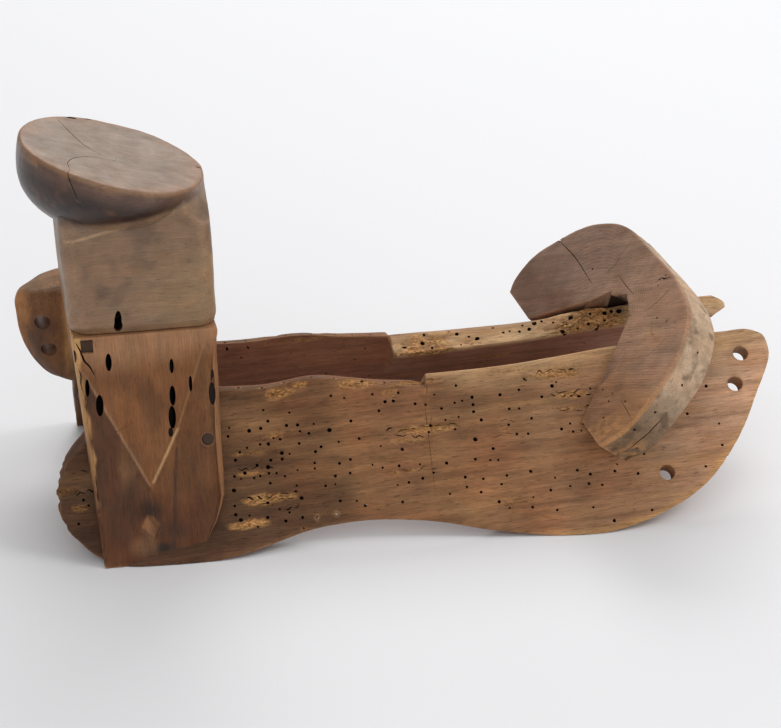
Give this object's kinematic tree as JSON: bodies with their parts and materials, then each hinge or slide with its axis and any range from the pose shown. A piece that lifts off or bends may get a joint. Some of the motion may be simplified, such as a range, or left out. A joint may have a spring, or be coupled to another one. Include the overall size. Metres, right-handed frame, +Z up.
{
  "type": "riding saddle tree",
  "caption": "Carved wooden riding-saddle tree: twisted side bars joined by a front fork with a broad round horn and by a leaning rear arch, pegged, with lashing holes.",
  "frame": {"origin": "on the floor, at the bottom centre of the tree's bounding box", "axes": "+X runs to the rear of the saddle, +Y to its right-hand side, +Z up"},
  "size_m": [0.5766, 0.2804, 0.2982],
  "materials": {
    "bar_wood": "worn, worm-eaten",
    "leg_wood": "worn, oiled",
    "horn_wood": "worn smooth",
    "cantle_wood": "sawn, aged",
    "peg_wood": "aged"
  },
  "bodies": {
    "root": {"left_bar": "bar_wood", "right_bar": "bar_wood", "left_fork_leg": "leg_wood", "right_fork_leg": "leg_wood", "horn_post": "horn_wood", "cantle": "cantle_wood", "fork_cross_pegs": "peg_wood", "left_leg_pegs": "peg_wood", "right_leg_pegs": "peg_wood", "left_cantle_pegs": "peg_wood", "right_cantle_pegs": "peg_wood"}
  },
  "joints": []
}
